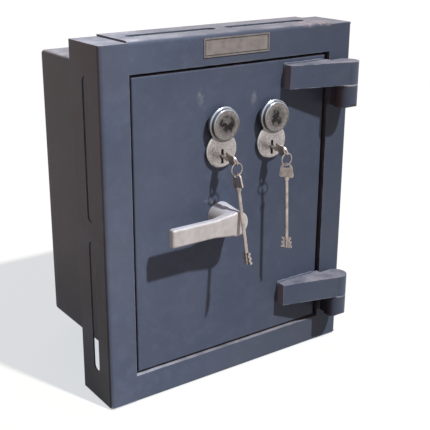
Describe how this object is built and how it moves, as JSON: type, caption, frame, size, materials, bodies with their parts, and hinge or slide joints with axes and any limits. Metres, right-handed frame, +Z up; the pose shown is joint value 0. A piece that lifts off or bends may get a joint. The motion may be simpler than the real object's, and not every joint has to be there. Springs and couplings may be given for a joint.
{
  "type": "wall safe",
  "caption": "Wall safe with a deep folded mortar frame, heavy hinged door, twin key locks with swing covers, lever handle and sliding locking bolts behind the door.",
  "frame": {"origin": "middle of the underside of the frame's bottom return", "axes": "+X to the hinge side seen from the front, +Y into the wall, +Z up"},
  "size_m": [0.33, 0.2665, 0.4],
  "materials": {
    "paint": "smooth semi-gloss blue-grey stove enamel",
    "steel": "bright machined, lightly oiled",
    "chrome": "turned and plated",
    "key_steel": "nickel-plated, worn by use",
    "alloy": "cast and satin polished",
    "brass": "plain turned",
    "plate_metal": "bare lacquered plate, pale brass tint",
    "filling": "cast barrier mortar"
  },
  "bodies": {
    "frame": {"front_frame": "paint", "body_wrap": "paint", "back_plate": "paint", "door_frame": "paint", "upper_hinge_knuckle": "paint", "lower_hinge_knuckle": "paint", "hinge_pins": "steel", "hinge_washers": "steel", "name_plate": "plate_metal"},
    "door": {"door_plate": "paint", "upper_hinge_arm": "paint", "lower_hinge_arm": "paint", "door_pan": "paint", "barrier_fill": "filling", "lock_plate": "steel", "boltwork_cover": "paint", "cover_screws": "steel", "hinge_dog_bar": "steel", "dog_bar_screws": "steel", "left_escutcheon": "chrome", "right_escutcheon": "chrome", "cover_pivots": "steel", "handle_bush": "brass", "bolt_guides": "brass", "carriage_studs": "steel", "key_tubes": "steel", "left_lock_case": "steel", "right_lock_case": "steel", "left_lock_cap": "steel", "right_lock_cap": "steel", "left_levers": "brass", "right_levers": "brass", "lever_pins": "steel", "lock_screws": "steel"},
    "handle": {"handle_lever": "alloy", "handle_spindle": "steel", "crank_arm": "steel", "crank_pin": "steel", "crank_clip": "steel", "grub_screw": "steel"},
    "carriage": {"bolt_bar": "steel", "bolt_carriage": "steel", "blocking_lugs": "steel", "locking_bolts": "steel", "bolt_nuts": "steel"},
    "left_lock_bolt": {"left_lock_bolt": "brass"},
    "right_lock_bolt": {"right_lock_bolt": "brass"},
    "left_cover": {"left_cover": "chrome"},
    "right_cover": {"right_cover": "chrome"},
    "left_barrel": {"left_key_barrel": "brass"},
    "right_barrel": {"right_key_barrel": "brass"},
    "left_key": {"left_key": "key_steel"},
    "right_key": {"right_key": "key_steel"},
    "left_ring": {"left_key_ring": "key_steel"},
    "right_ring": {"right_key_ring": "key_steel"},
    "left_spare": {"left_spare_key": "key_steel"},
    "right_spare": {"right_spare_key": "key_steel"}
  },
  "joints": [
    {"name": "door_hinge", "type": "hinge", "parent": "frame", "child": "door", "pos_m": [0.1445, -0.049, 0.2], "axis": [0, 0, 1], "range_deg": [0, 120]},
    {"name": "handle_turn", "type": "hinge", "parent": "door", "child": "handle", "pos_m": [-0.02, -0.0465, 0.198], "axis": [0, -1, 0], "range_deg": [0, 60]},
    {"name": "carriage_slide", "type": "slide", "parent": "door", "child": "carriage", "axis": [-1, 0, 0], "range_m": [0, 0.024]},
    {"name": "left_key_turn", "type": "hinge", "parent": "door", "child": "left_barrel", "pos_m": [-0.02, 0.0285, 0.26749], "axis": [0, -1, 0], "range_deg": [0, 90]},
    {"name": "left_bolt_throw", "type": "slide", "parent": "door", "child": "left_lock_bolt", "axis": [0, 0, -1], "range_m": [0, 0.008]},
    {"name": "left_key_pull", "type": "slide", "parent": "left_barrel", "child": "left_key", "axis": [0, -1, 0], "range_m": [0, 0.1]},
    {"name": "left_ring_hang", "type": "hinge", "parent": "left_key", "child": "left_ring", "pos_m": [-0.01784, -0.0576, 0.26287], "axis": [0, -1, 0], "range_deg": [-90, 0]},
    {"name": "left_spare_swing", "type": "hinge", "parent": "left_ring", "child": "left_spare", "pos_m": [-0.01784, -0.0576, 0.25112], "axis": [-1, 0, 0], "range_deg": [0, 60]},
    {"name": "left_cover_swing", "type": "hinge", "parent": "door", "child": "left_cover", "pos_m": [-0.02, -0.0375, 0.28899], "axis": [0, -1, 0], "range_deg": [-95, 95]},
    {"name": "right_key_turn", "type": "hinge", "parent": "door", "child": "right_barrel", "pos_m": [0.049, 0.0285, 0.26749], "axis": [0, -1, 0], "range_deg": [0, 90]},
    {"name": "right_bolt_throw", "type": "slide", "parent": "door", "child": "right_lock_bolt", "axis": [0, 0, -1], "range_m": [0, 0.008]},
    {"name": "right_key_pull", "type": "slide", "parent": "right_barrel", "child": "right_key", "axis": [0, -1, 0], "range_m": [0, 0.1]},
    {"name": "right_ring_hang", "type": "hinge", "parent": "right_key", "child": "right_ring", "pos_m": [0.05116, -0.0576, 0.26287], "axis": [0, -1, 0], "range_deg": [-90, 0]},
    {"name": "right_spare_swing", "type": "hinge", "parent": "right_ring", "child": "right_spare", "pos_m": [0.05116, -0.0576, 0.25112], "axis": [-1, 0, 0], "range_deg": [-2, 35]},
    {"name": "right_cover_swing", "type": "hinge", "parent": "door", "child": "right_cover", "pos_m": [0.049, -0.0375, 0.28899], "axis": [0, -1, 0], "range_deg": [-95, 95]}
  ],
  "couplings": [
    {"joint": "carriage_slide", "follows": "handle_turn", "m_per_rad": 0.022918},
    {"joint": "left_bolt_throw", "follows": "left_key_turn", "m_per_rad": 0.0050929},
    {"joint": "left_ring_hang", "follows": "left_key_turn", "ratio": -1},
    {"joint": "right_bolt_throw", "follows": "right_key_turn", "m_per_rad": 0.0050929},
    {"joint": "right_ring_hang", "follows": "right_key_turn", "ratio": -1}
  ]
}
